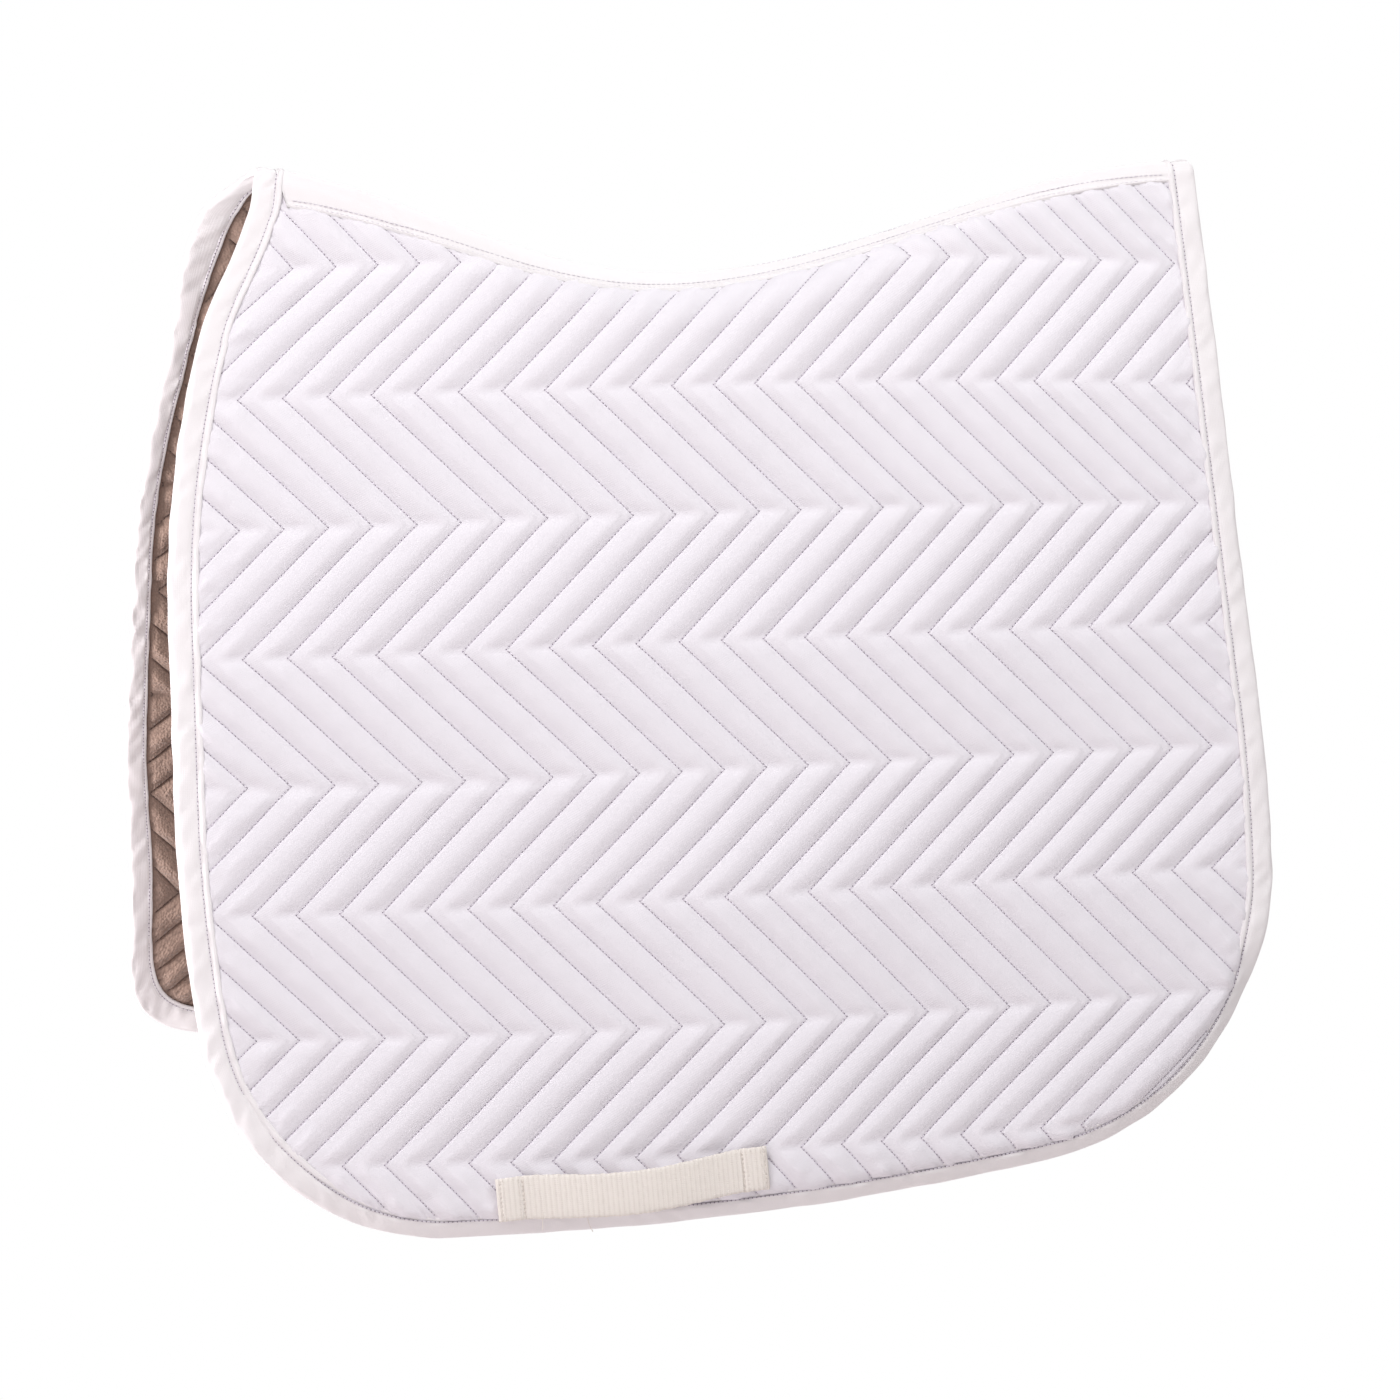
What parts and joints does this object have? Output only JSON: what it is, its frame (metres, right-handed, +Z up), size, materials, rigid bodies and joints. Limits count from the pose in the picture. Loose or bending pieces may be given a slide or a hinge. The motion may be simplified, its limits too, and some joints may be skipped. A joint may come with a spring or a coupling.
{
  "type": "saddle pad",
  "caption": "Contoured quilted dressage saddle pad with folding flaps, bound edges, a wicking lining and webbing girth straps.",
  "frame": {"origin": "lowest point of the spine's underside, on the middle plane, where the pad rests on the horse", "axes": "+X towards the horse's rear, +Y towards its right side, +Z up"},
  "size_m": [0.6492, 0.3864, 0.5872],
  "materials": {
    "face_fabric": "matt white cotton twill, quilted",
    "lining_fabric": "matt brown brushed wicking knit",
    "foam": "open foam wadding",
    "binding_tape": "matt white woven tape",
    "webbing": "ivory ribbed polypropylene webbing",
    "thread": "white polyester thread"
  },
  "bodies": {
    "spine": {"spine_band": "binding_tape", "spine_stitching": "thread", "spine_tape": "lining_fabric", "front_binding_top": "binding_tape", "rear_binding_top": "binding_tape", "left_face_top": "face_fabric", "left_foam_top": "foam", "left_lining_top": "lining_fabric", "right_face_top": "face_fabric", "right_foam_top": "foam", "right_lining_top": "lining_fabric"},
    "left_flap": {"left_face": "face_fabric", "left_foam": "foam", "left_lining": "lining_fabric", "left_quilt_thread": "thread", "left_edge_binding": "binding_tape", "left_binding_stitching": "thread", "left_girth_strap": "webbing", "left_strap_stitching": "thread"},
    "right_flap": {"right_face": "face_fabric", "right_foam": "foam", "right_lining": "lining_fabric", "right_quilt_thread": "thread", "right_edge_binding": "binding_tape", "right_binding_stitching": "thread", "right_girth_strap": "webbing", "right_strap_stitching": "thread"}
  },
  "joints": [
    {"name": "left_flap_fold", "type": "hinge", "parent": "spine", "child": "left_flap", "pos_m": [0, -0.03485, -0.03156], "axis": [-1, 0, 0], "range_deg": [-19, 70]},
    {"name": "right_flap_fold", "type": "hinge", "parent": "spine", "child": "right_flap", "pos_m": [0, 0.03485, -0.03156], "axis": [1, 0, 0], "range_deg": [-19, 70]}
  ]
}
